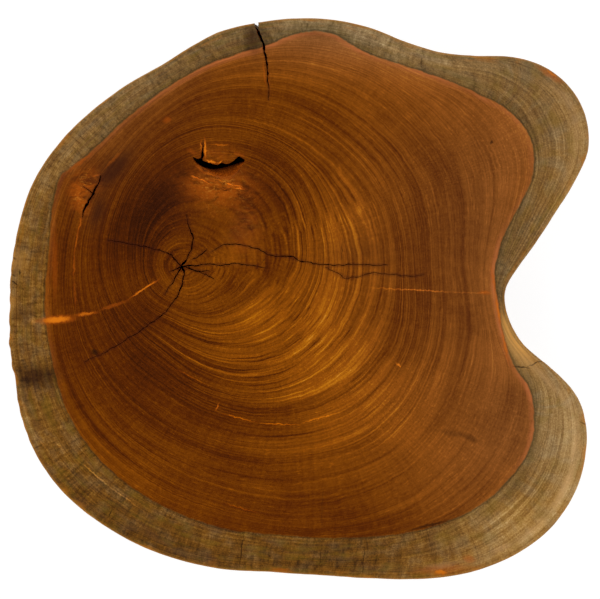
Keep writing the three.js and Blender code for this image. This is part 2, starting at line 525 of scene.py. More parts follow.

# The same for the sapwood, with the same painted light, brighter to the lower right.
SAP_PATCHES = patches(
    (190, -90, 34, 90, 0, 0.15), (150, -170, 60, 30, 20, 0.16), (190, 110, 30, 60, 0, 0.13),
    (90, 180, 60, 20, -15, 0.11), (10, 198, 50, 14, 0, 0.10), (-130, 150, 60, 20, 35, 0.05),
    (-120, -160, 60, 30, -35, -0.06), (20, -190, 110, 24, 0, -0.06), (-188, -56, 16, 9, 0, -0.17),
    (-30, 190, 12, 20, 0, -0.15), (-195, -100, 14, 26, 20, 0.07), (-196, 20, 14, 50, 0, 0.03),
    (-172, 96, 16, 30, -45, 0.07), (206, -116, 13, 46, 0, 0.07), (172, -142, 22, 17, 45, -0.07),
    (116, -176, 30, 11, 10, -0.05), (175, 112, 13, 36, 0, -0.06), (208, 118, 10, 30, 0, 0.06),
    (198, -146, 14, 16, -45, 0.06),
)

# Where a painted sheen stands in for reflected light and makes the wood look paler and greyer, from 0 to 1.
SHEEN_PATCHES = patches(
    (20, 205, 190, 30, -8, 1.0), (-90, 172, 40, 15, 28, 0.3), (185, 70, 34, 34, 0, -0.28),
    (174, -146, 30, 24, 0, -0.28), (190, 60, 110, 130, 0, 0.60), (190, -120, 90, 90, 0, 0.48),
    (-150, 150, 90, 50, 40, 0.5), (-205, -60, 26, 100, 0, 0.10),
)

# Where the rings stand out more or less.
GAIN_PATCHES = patches(
    (8, -18, 80, 60, -40, 0.46), (-38, -46, 52, 26, -24, 0.42), (2, 40, 13, 52, 0, 0.45),
    (40, 36, 13, 60, 0, 0.35), (130, -90, 60, 60, 0, -0.24), (-59, 60, 19, 24, 0, -0.5),
    (-110, -60, 50, 40, 0, -0.25), (20, -140, 100, 30, 0, -0.32), (-150, 20, 24, 60, 0, -0.12),
    (140, 60, 50, 80, 0, -0.2), (20, 150, 130, 36, 0, -0.2), (112, 0, 34, 60, 0, -0.18),
    (-20, 4, 22, 18, 0, -0.35),
)

# Where the youngest heartwood glows orange at the border with the sapwood.
GLOW_PATCHES = patches(
    (-40, 165, 130, 50, 10, 0.75), (120, 150, 70, 50, -30, 0.5), (150, -10, 34, 66, 0, 0.8),
    (-180, 20, 40, 90, 0, 0.15), (168, -85, 14, 50, 0, 0.45),
)

# Where the sapwood is fresh and honey-coloured: between the bay and the closed crack below it, and at
# two chipped places on the left.
HONEY_PATCHES = patches(
    (158, -34, 17, 6.5, -52, 1.0), (149, -17, 9, 4, -72, 0.6), (-203.5, 27, 5, 6.5, 0, 0.7),
    (-207.5, -4, 3, 8, 0, 0.45),
)

# Where the sapwood has dried to a pale, pinkish ring near the rim.
BLOOM_PATCHES = patches(
    (188, -105, 50, 60, 0, 0.9), (140, -170, 50, 40, 20, 0.7), (195, 130, 24, 40, 0, 0.45),
)

# Where the grain is gnarled: the collar under the knot, and the lip of the bark pocket.
BURL_PATCHES = patches(
    (-60, 84, 19, 8, 0, 1.1), (-58, 74, 18, 8, 0, 0.5), (-60, 104, 14, 6, 0, 0.35),
    (-152, 84, 9, 8, 0, 0.9), (-158, 72, 6, 11, 20, 0.8), (-40, 53, 8, 18, 0, 0.6),
)

# Where the sapwood's rays stand out less.
RAY_PATCHES = patches(
    (190, -90, 50, 90, 0, -0.6), (160, -165, 60, 40, 20, -0.4), (190, 100, 60, 100, 0, -0.6),
)

# Purple-brown stains.
STAIN_PATCHES = patches(
    (-134, 93, 19, 7, 48, 1.0), (-145.5, 62, 6, 13, -20, 0.8), (-199, -11, 9, 5, 0, 0.5),
    (-57, 92.4, 13, 3.0, 0, 0.8), (-39, 56, 6, 20, 5, 0.45), (-44, 46, 9, 6, 0, 0.4),
    (-34, 188, 5, 14, 10, 0.7), (-186, -55, 13, 7, 0, 0.55), (-195, -57, 14, 8, 0, 0.25),
    (40, 33, 26, 12, 0, 0.3), (-90, 70, 30, 24, 30, 0.25),
)


@dataclass(frozen=True)
class SoftField:
    """Something about the wood that changes slowly over the face."""

    base: float  # its value away from all patches
    lowest: float
    highest: float
    patches: tuple[Patch, ...]

    def at(self, places: np.ndarray) -> np.ndarray:
        """The field's value at each place in mm."""
        found = self.base + sum((patch.at(places) for patch in self.patches), np.zeros(len(places)))
        return np.clip(found, self.lowest, self.highest)


SOFT_FIELDS = {
    "heart_tone": SoftField(0.435, 0.0, 1.0, HEART_PATCHES),
    "sap_tone": SoftField(0.47, 0.0, 1.0, SAP_PATCHES),
    # The painted sheen: reflected light laid into the colour.
    "painted_sheen": SoftField(0.0, 0.0, 1.0, SHEEN_PATCHES),
    "gain": SoftField(0.66, 0.1, 2.0, GAIN_PATCHES),
    "glow": SoftField(0.0, 0.0, 1.0, GLOW_PATCHES),
    "honey": SoftField(0.0, 0.0, 1.0, HONEY_PATCHES),
    "bloom": SoftField(0.0, 0.0, 1.0, BLOOM_PATCHES),
    "burl": SoftField(0.0, 0.0, 1.0, BURL_PATCHES),
    "ray_gain": SoftField(0.8, 0.2, 2.0, RAY_PATCHES),
    "stain": SoftField(0.0, 0.0, 0.8, STAIN_PATCHES),
}

# The fields that come from how the trunk grew and split.
TRUNK_FIELDS = ("growth", "beyond_heart", "from_rim", "from_split", "ray_cos", "ray_sin")


@dataclass(frozen=True)
class Streak:
    """A soft mark on the face from one place to another, in mm: it fades to its ends and its sides."""

    x0: float
    y0: float
    x1: float
    y1: float
    width: float
    strength: float


def streaks(*rows: tuple[float, ...]) -> tuple[Streak, ...]:
    """Makes a streak of each row of its numbers."""
    return tuple(Streak(*row) for row in rows)


# Fresh, bright wood: a ray's flame on the left, and the torn lips of the knot, the bark pocket and the
# rim check.
FLAMES = streaks(
    (-193, -16.6, -156, -13.4, 8.5, 1.0), (-166, -12.4, -141, -9, 3.6, 0.75),
    (-148, -9.6, -119, 0.4, 3.4, 0.45), (-127, -2.8, -96.5, 17.4, 2.4, 0.9),
    (-70.4, 116, -70.6, 104, 1.8, 0.8), (-68, 119, -67.4, 98, 2.6, 1.0),
    (-69.5, 100.8, -57, 97, 2.6, 1.0), (-59.6, 96.9, -54.5, 100.6, 2.2, 0.85),
    (-82, 108.6, -72, 103, 4.5, 0.35), (-48, 106, -38, 102, 4.5, 0.4), (-75.5, 97.5, -67, 90, 3.2, 0.55),
    (-44.5, 92, -41, 98.4, 2.0, 0.6), (-71, 92, -57, 87.6, 2.6, 0.6), (-61, 87.6, -45, 91.2, 2.6, 0.6),
    (-50, 88, -41.6, 95.6, 2.6, 0.6), (-79, 89, -64, 83.6, 2.6, 0.5), (-172, 88.5, -145, 107.5, 4, 0.5),
    (-124, 110, -143, 91, 2.6, 0.3), (-155.5, 64, -160, 44, 1.9, 0.6), (-158.4, 54, -162.6, 28, 1.9, 0.6),
    (-162, 38, -162.4, 10, 1.7, 0.5), (-162.4, 18, -160.5, -10, 1.7, 0.4),
    (137.5, 28, 142.5, -2, 3.2, 0.55), (140.6, 10, 146, -26, 3.2, 0.68), (144.4, -14, 152, -52, 3.2, 0.6),
    (127, 4.8, 141, 4.2, 4.0, 0.5), (-176, 60, -176, -10, 6, 0.35), (-99, 127, -91, 131, 7, 0.5),
    (-57.2, -73.6, -60.3, -82, 1.7, 0.7), (168, 170, 194, 153, 7, 0.5), (174, 168, 190, 157, 4, 0.7),
    (94, -196, 110, -197.5, 7, 0.85), (74, -197, 134, -193, 11, 0.4), (116, -186, 129, -188.6, 8, 0.45),
    (-24, -195, -2, -196, 5, 0.5), (-24, 176, -20.6, 145, 1.7, 0.6), (-26.4, 176, -23.4, 149, 1.5, 0.5),
)

# Pale, mineral-filled pores that follow a ring or a ray, and bright torn fibres.
PALE_STREAKS = streaks(
    (56, 8.2, 116, 4.6, 1.5, 0.9), (48, 8.8, 82, 5.6, 1.2, 0.4), (95, 5.1, 144, 4.2, 1.2, 0.25),
    (69, -45.2, 74, -49.8, 1.8, 1.0), (-59.5, -81.5, -26, -90.3, 1.4, 0.8),
    (-33, -89.5, 5, -90.8, 1.4, 0.9), (-4, -91, 33, -80.5, 1.4, 0.7), (-57, -146.2, -26, -155, 1.5, 0.5),
    (-100, -45, -61, -64.5, 1.2, 0.45), (-192, -94, -180, -111.5, 1.6, 0.25),
    (-179, -99, -165, -114, 1.4, 0.22), (-164, -112, -132, -139.2, 1.6, 0.6),
    (-142, -131.6, -106.5, -156.4, 1.6, 0.55), (-80, 89.4, -69, 86, 1.2, 0.6),
    (-74, 88, -63.6, 82.8, 1.2, 0.65), (-66, 88.2, -52, 83.4, 1.2, 0.6), (-56, 85.6, -45, 80.2, 1.2, 0.6),
    (-50, 80.3, -36.4, 79, 1.8, 0.9), (-49, 82.6, -38, 80, 1.1, 0.6),
    (-66.5, 111.4, -47.5, 111, 1.3, 0.5), (-149, 88, -141.5, 90, 1.6, 0.5),
    (-196, -16, -187, -15.8, 8, 0.4),
)

# Small knots, closed cracks and chipped spots.
DARK_STREAKS = streaks(
    (-151, -36.6, -143, -40, 6, 0.9), (96, -94.5, 126, -99, 6.5, 0.36), (114, -96, 132, -104, 7, 0.42),
    (138.3, 110.5, 138.7, 115.5, 2.6, 0.8), (-62, 80.2, -46, 76.8, 1.5, 0.55),
    (-57, 81, -51, 79.4, 2.4, 0.6), (-88, 100, -80, 84, 9, 0.35), (-38.9, -164, -43.9, -198, 1.7, 0.9),
    (17, -171, 14, -200, 1.8, 0.6), (16.8, -128, 16.4, -172, 2.0, 0.25), (48, -172, 45, -204, 1.8, 0.7),
    (88.6, 177, 88, 164, 1.6, 0.6), (201, -88, 211, -92, 2.0, 1.0), (151, -48.6, 170, -49.8, 1.5, 0.9),
    (161, -50.6, 179, -42.4, 1.5, 0.9), (-210, 31, -203, 28, 3.0, 1.0),
    (-201.7, 22, -200.7, 16, 2.2, 0.9), (-209.5, 14.5, -201, 9, 2.2, 0.9),
    (-209, 18.5, -203, 16, 1.8, 0.6), (-134, -150.4, -138.5, -159, 1.7, 0.8),
    (72, -168.4, 118, -157, 3.2, 0.8), (-96.5, 30, -97, 19, 1.4, 0.6), (-94, 34, -80, 37.5, 1.4, 0.5),
    (-70, 37, -62, 30, 1.2, 0.4), (30, 24, 31.5, 44, 1.6, 0.5), (-28, 24.5, -22, 32, 1.3, 0.6),
)


@dataclass
class TrunkSlice:
    """The board: one slice of the trunk, with its live edge, its splits and its knot."""

    growth: Growth
    columns: int = 800
    rows: int = 48
    under_rows: int = 20
    wall_rows: int = 12
    arris_rows: int = 4
    arris: float = 1.5  # mm
    girth: float = 212.0  # mm, the radius of the circle that the live edge's waves are drawn on
    rim_share: float = 0.9  # the share of the age outside which the face follows the live edge

    def __post_init__(self) -> None:
        """Takes the slab's height from the CAD node, and the rays from how the trunk grew."""
        lowest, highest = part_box(NODE)
        self.bottom, self.top = lowest.z, highest.z
        self.rays = self.growth.rays(self.columns)

    def profile(self) -> list[tuple[float, float]]:
        """Draws the slice as if it were a turned disc.

        Returns:
            The share of the rim's age and the height in metres of each point, from pith to pith.
        """
        bevel = self.arris * MM
        bend = [math.pi / 2 * k / self.arris_rows for k in range(1, self.arris_rows + 1)]
        upper = [(1.0, self.top - bevel * (1 - math.cos(angle))) for angle in bend]
        lower = [(1.0, self.bottom + bevel * (1 - math.cos(angle))) for angle in reversed(bend)]
        high, low = self.top - bevel, self.bottom + bevel
        wall = [(1.0, high + (low - high) * k / self.wall_rows) for k in range(1, self.wall_rows)]
        face = [(k / self.rows, self.top) for k in range(self.rows + 1)]
        under = [(1 - k / self.under_rows, self.bottom) for k in range(self.under_rows + 1)]
        return face + upper + wall + lower + under

    def edge_loss(self, turn: float, height: float) -> float:
        """How far in mm the live edge lies inside the CAD rim.

        Args:
            turn: the way round the rim, from 0 to 1.
            height: the height above the underside in mm.

        Returns:
            A distance of 0 or more: shallow flutes and narrow grooves that run up the trunk, a slow lean,
            and bumps on the far left.
        """
        angle = 2 * math.pi * turn
        x, y = self.girth * math.cos(angle), self.girth * math.sin(angle)

        def wave(across: float, upward: float, layer: float) -> float:
            """Noise with waves of some mm round the rim, drawn out up the trunk."""
            return noise.noise(Vector((x / across, y / across, height / upward + layer)))

        thickness = (self.top - self.bottom) / MM
        fade = 7.0  # mm from each face over which the grooves run out
        broad = 0.5 + 0.5 * wave(24, 160, 0)
        flute = 0.5 + 0.5 * wave(8, 90, 4)
        groove = smooth((wave(5, 70, 9) - 0.2) / 0.35)
        groove *= smooth(height / fade) * smooth((thickness - height) / fade)
        lean = (0.5 + 0.5 * math.sin(3 * angle + 1.1)) * height / thickness
        far_left = max(0.0, -math.cos(angle)) ** 24  # nearly 0 beyond 30 degrees from -X
        bumps = smooth(0.5 + 1.6 * wave(7, 130, 2)) * far_left
        return 0.4 * broad + 0.3 * flute + 0.9 * groove + 0.35 * lean + 0.9 * bumps

    def build(self) -> bpy.types.Object:
        """Builds the slice: grown to its shape, cut by its splits and marked with its fields.

        Returns:
            The slice's object.
        """
        slab = new_object("trunk_slice", self.grown())
        for cutter in [split.cutter(self.top) for split in SPLITS] + self.knot_cutters():
            self.cut(slab, cutter)
        slab.data.materials.clear()
        self.mark(slab.data)
        return slab

    def grown(self) -> bmesh.types.BMesh:
        """Rolls a flat sheet up into the slice, with each vertex on its ring and its ray.

        Returns:
            A mesh with a column for each ray and a row for each point of the profile, closed at its seam
            and at both ends of the pith.
        """
        line = np.array(self.profile())
        mesh = bmesh.new()
        bmesh.ops.create_grid(mesh, x_segments=self.columns, y_segments=len(line) - 1, size=0.5)
        flat = np.array([vert.co[:2] for vert in mesh.verts])
        column = np.round((flat[:, 0] + 0.5) * self.columns).astype(int) % self.columns
        share, height = line[np.round((flat[:, 1] + 0.5) * (len(line) - 1)).astype(int)].T
        at = share * AGE_STEPS
        low = np.minimum(at.astype(int), AGE_STEPS - 1)
        bearing = self.rays[low, column] * (low + 1 - at) + self.rays[low + 1, column] * (at - low)
        places = polar_to_place(bearing, self.growth.radius(bearing, share * RIM_AGE))

        rim = polar_to_place(self.rays[-1], self.growth.radius(self.rays[-1], np.full(self.columns, RIM_AGE)))
        along = np.roll(rim, -1, axis=0) - np.roll(rim, 1, axis=0)
        outward = np.column_stack([along[:, 1], -along[:, 0]]) / np.hypot(*along.T)[:, None]
        edge = np.minimum(self.top - height, height - self.bottom) / MM
        curl = self.arris - np.sqrt(np.maximum(self.arris**2 - np.maximum(self.arris - edge, 0) ** 2, 0))
        for i in np.flatnonzero(share > self.rim_share):
            loss = self.edge_loss(column[i] / self.columns, (height[i] - self.bottom) / MM)
            ease = smooth((share[i] - self.rim_share) / (1 - self.rim_share))
            places[i] -= outward[column[i]] * (curl[i] + loss) * ease
        for vert, (x, y), z in zip(mesh.verts, places * MM, height):
            vert.co = (x, y, z)
        bmesh.ops.remove_doubles(mesh, verts=mesh.verts[:], dist=1e-6)
        bmesh.ops.recalc_face_normals(mesh, faces=mesh.faces[:])
        return mesh

    def knot_cutters(self) -> list[bpy.types.Object]:
        """Makes the spaces of the branch socket, which narrow from the top face down.

        Returns:
            The mesh objects to cut with: its sloping lower lip, and the hollow behind it.
        """
        above = 0.4  # mm over the face, so that the cut is clean
        swing, length = 0.25, 1.5  # how far in mm its edge is torn, and over what length
        floor_share = 0.85
        hollow = closed_curve(np.array(KNOT_UPPER + KNOT_LOWER, float), 3)
        scoop = closed_curve(np.array(KNOT_UPPER + KNOT_SCOOP, float), 3)
        floor = hollow.mean(axis=0) + (hollow - hollow.mean(axis=0)) * floor_share
        made = []
        for name, brim, foot, depth in (("scoop", scoop, hollow, SCOOP_DEPTH),
                                        ("hollow", hollow, floor, KNOT_DEPTH)):
            wide = brim + (brim - foot) * above / depth
            tear = [swing * noise.noise(Vector((x / length, y / length, 9))) for x, y in wide]
            torn = wide + np.array(tear)[:, None]
            made.append(space_between(name, torn, self.top + above * MM, foot, self.top - depth * MM))
        return made

    def cut(self, slab: bpy.types.Object, cutter: bpy.types.Object) -> None:
        """Takes a cutter out of the slab, and removes the cutter.

        Args:
            slab: the slab, which gets a new mesh.
            cutter: the closed mesh object to take out of it.
        """
        step = slab.modifiers.new("cut", "BOOLEAN")
        step.operation = "DIFFERENCE"
        step.solver = "MANIFOLD"
        step.object = cutter
        depsgraph = bpy.context.evaluated_depsgraph_get()
        done = bpy.data.meshes.new_from_object(slab.evaluated_get(depsgraph))
        slab.modifiers.remove(step)
        old, slab.data = slab.data, done
        bpy.data.meshes.remove(old)
        data = cutter.data
        bpy.data.objects.remove(cutter)
        bpy.data.meshes.remove(data)

    def turns(self, places: np.ndarray, ages: np.ndarray) -> np.ndarray:
        """Which ray each place lies on.

        Args:
            places: x, y of each place in mm.
            ages: the age in mm of growth at each place.

        Returns:
            The ray of each place, as an angle in radians that closes round the trunk.
        """
        around = np.append(np.arange(self.columns), self.columns) / self.columns * 2 * math.pi
        bearing, _ = polar(places)
        every = 4  # the rays bend so slowly that each fourth age is enough
        kept = self.rays[::every]
        found = np.zeros((len(kept), len(places)))
        for k, row in enumerate(kept):
            order = np.append((row - row[0]) % 360, 360.0)
            found[k] = np.interp((bearing - row[0]) % 360, order, around)
        at = np.clip(ages / RIM_AGE, 0, 0.9999) * (len(kept) - 1)  # the rim belongs to the last step
        low = at.astype(int)
        pick = np.arange(len(places))
        near, far = found[low, pick], found[low + 1, pick]
        far = near + (far - near + math.pi) % (2 * math.pi) - math.pi
        return near + (far - near) * (at - low)

    def mark(self, data: bpy.types.Mesh) -> None:
        """Stores on each vertex what its place in the trunk is, and sorts the faces by finish.

        Args:
            data: the slice's mesh.
        """
        points = values_of(data.vertices, "co", np.float32, 3).reshape(-1, 3).astype(float) / MM
        places = points[:, :2]
        ages = self.growth.age(places)
        turn = self.turns(places, ages)
        upper = points[:, 2] > 0.5 * self.top / MM
        through = [split for split in SPLITS if split.depth * MM > self.top]
        on_top, below = (distance_to(places, [split.plan()[:, :2] for split in group])
                         for group in (SPLITS, through))
        trunk = (ages, self.growth.beyond_heart(places), distance_to(places, [closed(self.growth.rim())]),
                 np.where(upper, on_top, below), np.cos(turn), np.sin(turn))
        fields = dict(zip(TRUNK_FIELDS, trunk))
        fields.update({name: field.at(places) for name, field in SOFT_FIELDS.items()})
        fields["burl"] *= upper
        for name, values in fields.items():
            store = data.attributes.new(name, "FLOAT", "POINT")
            store.data.foreach_set("value", values.astype(np.float32))
        self.sort_faces(data, points, fields["from_rim"])

    def sort_faces(self, data: bpy.types.Mesh, points: np.ndarray, from_rim: np.ndarray) -> None:
        """Gives each face its finish: end grain, live edge or the raw wall of a split.

        Args:
            data: the slice's mesh.
            points: x, y, z of each vertex in mm.
            from_rim: how far each vertex is from the rim in mm.
        """
        corners = values_of(data.loops, "vertex_index", int)
        starts = values_of(data.polygons, "loop_start", int)
        normals = values_of(data.polygons, "normal", float, 3)
        near = self.arris * 0.75  # mm within which a face counts as part of the top or the underside
        rim_width = 3.2  # mm in from the rim within which a wall is live edge
        lowest = np.minimum.reduceat(points[corners, 2], starts)
        highest = np.maximum.reduceat(points[corners, 2], starts)
        level = (lowest > self.top / MM - near) | (highest < self.bottom / MM + near)
        level &= np.abs(normals[2::3]) > 0.5  # steeper than 60 degrees is a wall
        inner = np.maximum.reduceat(from_rim[corners], starts) > rim_width
        kinds = np.where(level, Face.END_GRAIN.value,
                         np.where(inner, Face.RAW_SPLIT.value, Face.LIVE_EDGE.value))
        data.polygons.foreach_set("material_index", kinds.astype(np.int32))


def values_of(items: bpy.types.bpy_prop_collection, name: str, kind: type, width: int = 1) -> np.ndarray:
    """Reads one property of all vertices, corners or faces of a mesh.

    Args:
        items: the vertices, corners or faces.
        name: the property.
        kind: the type of its numbers.
        width: how many numbers each item has.

    Returns:
        The numbers of all items in a row.
    """
    found = np.zeros(len(items) * width, kind)
    items.foreach_get(name, found)
    return found


def polar_to_place(bearing: np.ndarray, radius: np.ndarray) -> np.ndarray:
    """The places in mm at some bearings in degrees and radii in mm about the pith."""
    angle = np.radians(bearing)
    return np.column_stack([PITH[0] + radius * np.cos(angle), PITH[1] + radius * np.sin(angle)])


def smooth(share: float) -> float:
    """An eased step from 0 to 1."""
    t = min(max(share, 0.0), 1.0)
    return t * t * (3 - 2 * t)


def linear(colour: str) -> tuple[float, float, float, float]:
    """Turns an sRGB colour into the linear values that a shader takes.

    Args:
        colour: its six hex digits.

    Returns:
        Red, green, blue and an alpha of 1.
    """
    parts = [int(colour[k:k + 2], 16) / 255 for k in (0, 2, 4)]
    bent = [c / 12.92 if c <= 0.04045 else ((c + 0.055) / 1.055) ** 2.4 for c in parts]
    return (bent[0], bent[1], bent[2], 1.0)


Socket = bpy.types.NodeSocket
Ramp = tuple[tuple[float, str], ...]  # places from 0 to 1, each with an sRGB hex colour


@dataclass
class NodeSheet:
    """A node tree that a finish is drawn in."""

    tree: bpy.types.NodeTree

    @classmethod
    def of(cls, name: str) -> "NodeSheet":
        """Starts an empty material.

        Args:
            name: the material's name.

        Returns:
            Its empty node tree.
        """
        material = bpy.data.materials.new(name)
        material.use_nodes = True
        material.node_tree.nodes.clear()
        return cls(material.node_tree)

    def put(self, kind: str, links: dict[int | str, object], out: int | str = 0,
            stops: Ramp = (), **settings: object) -> Socket | None:
        """Adds a node with its settings and links.

        Args:
            kind: the node's type, without the ShaderNode that it starts with.
            links: for each input, by name or number, the socket that feeds it or the value that it
                holds. MapRange takes its value, the two ends of its source and the two of its result.
            out: the output that is wanted.
            stops: the stops of a colour ramp.
            **settings: the node's own properties.

        Returns:
            The wanted output, or None where the node has no output.
        """
        node = self.tree.nodes.new("ShaderNode" + kind)
        for name, value in settings.items():
            setattr(node, name, value)
        for name, value in links.items():
            if isinstance(value, Socket):
                self.tree.links.new(value, node.inputs[name])
            else:
                node.inputs[name].default_value = value
        for k, (place, colour) in enumerate(stops):
            band = node.color_ramp.elements
            element = band[k] if k < len(band) else band.new(place)
            element.position = place
            element.color = linear(colour)
        return node.outputs[out] if node.outputs else None

    def raised(self, base: Socket | float, *layers: tuple[Socket, Socket | float]) -> Socket:
        """Adds patterns to a base value.

        Args:
            base: the value that they are added to.
            *layers: patterns from 0 to 1, each with how far it moves the value at most.

        Returns:
            The sum.
        """
        for pattern, swing in layers:
            base = self.put("Math", {0: pattern, 1: swing, 2: base}, operation="MULTIPLY_ADD")
        return base

    def layered(self, base: Socket | float, *layers: tuple[Socket, float]) -> Socket:
        """Lays patterns over a base value, which they leave as it is on average.

        Args:
            base: the value that they are laid over.
            *layers: patterns about 0.5, each with how far it swings the value.

        Returns:
            The base value with the swings of all patterns added.
        """
        middle = sum(swing for _, swing in layers) / 2
        return self.put("Math", {0: self.raised(base, *layers), 1: middle}, operation="SUBTRACT")

    def toned(self, tone: Socket, clear: Ramp, sheened: Ramp, painted_sheen: Socket) -> Socket:
        """Looks a tone's colour up.

        Args:
            tone: how light the wood is, from 0 to 1.
            clear: its colours without the painted sheen.
            sheened: its colours under the painted sheen, paler and greyer.
            painted_sheen: how much painted sheen there is, from 0 to 1.

        Returns:
            The colour.
        """
        deep, thin = (self.put("ValToRGB", {0: tone}, stops=ramp) for ramp in (clear, sheened))
        return self.put("Mix", {0: painted_sheen, 6: deep, 7: thin}, out=2, data_type="RGBA")

    def painted(self, colour: Socket, paint: str, strength: float, *masks: Socket) -> Socket:
        """Lays a colour over another.

        Args:
            colour: what it is laid over.
            paint: its sRGB hex colour.
            strength: how much of it shows at most.
            *masks: from 0 to 1, and it shows where all of them are high.

        Returns:
            The mixed colour.
        """
        much = strength
        for mask in masks:
            much = self.put("Math", {0: mask, 1: much}, operation="MULTIPLY", use_clamp=True)
        return self.put("Mix", {0: much, 6: colour, 7: linear(paint)}, out=2, data_type="RGBA")

    def band(self, value: Socket, middle: float, core: float, reach: float, **settings: object) -> Socket:
        """A band of a value.

        Args:
            value: what is measured.
            middle: where the band is.
            core: how far on either side it is full.
            reach: how far on either side it has faded out.
            **settings: how it fades.

        Returns:
            1 in the band and 0 outside it.
        """
        off = self.put("Math", {0: value, 1: middle}, operation="SUBTRACT")
        off = self.put("Math", {0: off}, operation="ABSOLUTE")
        return self.put("MapRange", {0: off, 1: core, 2: reach, 3: 1.0, 4: 0.0}, **settings)

    def streaks(self, place: Socket, marks: tuple[Streak, ...]) -> Socket:
        """Where some streaks lie on the top face: they fade out within the wood below it.

        Args:
            place: the place in mm.
            marks: the streaks.

        Returns:
            The strength of the strongest streak at each place, and 0 off them all.
        """
        found = None
        _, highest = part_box(NODE)
        reach = 24.0  # mm down into the wood
        for mark in marks:
            length = math.hypot(mark.x1 - mark.x0, mark.y1 - mark.y0)
            spot = self.put("Mapping", {
                "Vector": place,
                "Location": ((mark.x0 + mark.x1) / 2, (mark.y0 + mark.y1) / 2, highest.z / MM),
                "Rotation": (0, 0, math.atan2(mark.y1 - mark.y0, mark.x1 - mark.x0)),
                "Scale": (length / 2, mark.width / 2, reach),
            }, vector_type="TEXTURE")
            soft = self.put("TexGradient", {0: spot}, out="Fac", gradient_type="SPHERICAL")
            edge = self.put("MapRange", {0: soft, 2: 0.8, 4: mark.strength},
                            interpolation_type="SMOOTHSTEP")
            found = edge if found is None else self.put("Math", {0: found, 1: edge}, operation="MAXIMUM")
        return found


@dataclass
class Grain:
    """The end grain's own coordinates, and the patterns that are drawn on them.

    The noises are given in cells in each mm. A real pore is 0.1 to 0.3 mm wide and wouldn't show, so
    pores are drawn 0.9 mm wide.
    """

    PORES = 1.1
    SHAKE = 0.35
    WANDER = 0.11
    CLOUD = 0.03

    sheet: NodeSheet
    read: dict[str, Socket]  # the fields that the slice's vertices hold
    place: Socket  # in mm, a little shaken
    growth: Socket  # the age in mm, a little uneven
    edge: Socket  # how far in mm beyond the heartwood, a little torn
    pores: Socket
    cloud: Socket

    @classmethod
    def of(cls, sheet: NodeSheet) -> "Grain":
        """Sets the coordinates up, shaken a little so that no mark is drawn true.

        Args:
            sheet: where the finish is drawn.

        Returns:
            The coordinates.
        """
        put = sheet.put
        read = {name: put("Attribute", {}, out="Fac", attribute_name=name)
                for name in (*TRUNK_FIELDS, *SOFT_FIELDS)}
        place = put("VectorMath", {0: put("TexCoord", {}, out="Object"), 1: (1000, 1000, 1000)},
                    operation="MULTIPLY")
        shake = put("TexNoise", {"Vector": place, "Scale": cls.SHAKE, "Detail": 2.0}, out="Color")
        centred = put("VectorMath", {0: shake, 1: (0.5, 0.5, 0.5)}, operation="SUBTRACT")
        place = put("VectorMath", {0: centred, 1: (2.6, 2.6, 0), 2: place}, operation="MULTIPLY_ADD")
        pores = put("TexNoise", {"Vector": place, "Scale": cls.PORES, "Detail": 2.0})
        cloud = put("TexNoise", {"Vector": place, "Scale": cls.CLOUD, "Detail": 3.0})
        wander = put("TexNoise", {"Vector": place, "Scale": cls.WANDER, "Detail": 2.0})
        growth = sheet.layered(read["growth"], (cloud, 2.6), (wander, 1.5))
        edge = sheet.layered(read["beyond_heart"], (wander, 2.0), (pores, 1.2))
        return cls(sheet, read, place, growth, edge, pores, cloud)

    def woven(self, turns: float, step: float, detail: float = 1.0, steady: bool = False) -> Socket:
        """Noise that is drawn out along rings or rays.

        Args:
            turns: how often it changes on the way round the trunk, divided by 2 pi. With 1 its cells are
                225 mm wide at the rim, with 95 they are 2.4 mm wide.
            step: how often it changes on the way out, in mm of growth.
            detail: how many finer octaves it has.
            steady: whether it follows the true age, and not the uneven one.

        Returns:
            A pattern about 0.5.
        """
        put, read = self.sheet.put, self.read
        cos = put("Math", {0: read["ray_cos"], 1: turns}, operation="MULTIPLY")
        sin = put("Math", {0: read["ray_sin"], 1: turns}, operation="MULTIPLY")
        out = put("Math", {0: read["growth"] if steady else self.growth, 1: step}, operation="DIVIDE")
        where = put("CombineXYZ", {0: cos, 1: sin, 2: out})
        return put("TexNoise", {"Vector": where, "Scale": 1.0, "Detail": detail})

    def ring_lines(self, rings: tuple[tuple[float, float], ...]) -> Socket:
        """Draws the rings that stand out pale.

        Args:
            rings: the age in mm and the strength of each.

        Returns:
            How pale each place is, from 0 to 1.
        """
        half = 0.95  # mm of growth, half the width of a pale ring
        margin = 3.0  # mm of growth inside the first ring and outside the last
        start, end = rings[0][0] - margin, rings[-1][0] + margin
        share = self.sheet.put("MapRange", {0: self.growth, 1: start, 2: end})
        stops = [(0.0, "000000")]
        for age, strength in rings:
            level = f"{round(255 * strength):02x}" * 3
            stops += [((at - start) / (end - start), shade) for at, shade in
                      ((age - half, "000000"), (age, level), (age + half, "000000"))]
        return self.sheet.put("ValToRGB", {0: share}, stops=tuple(stops))


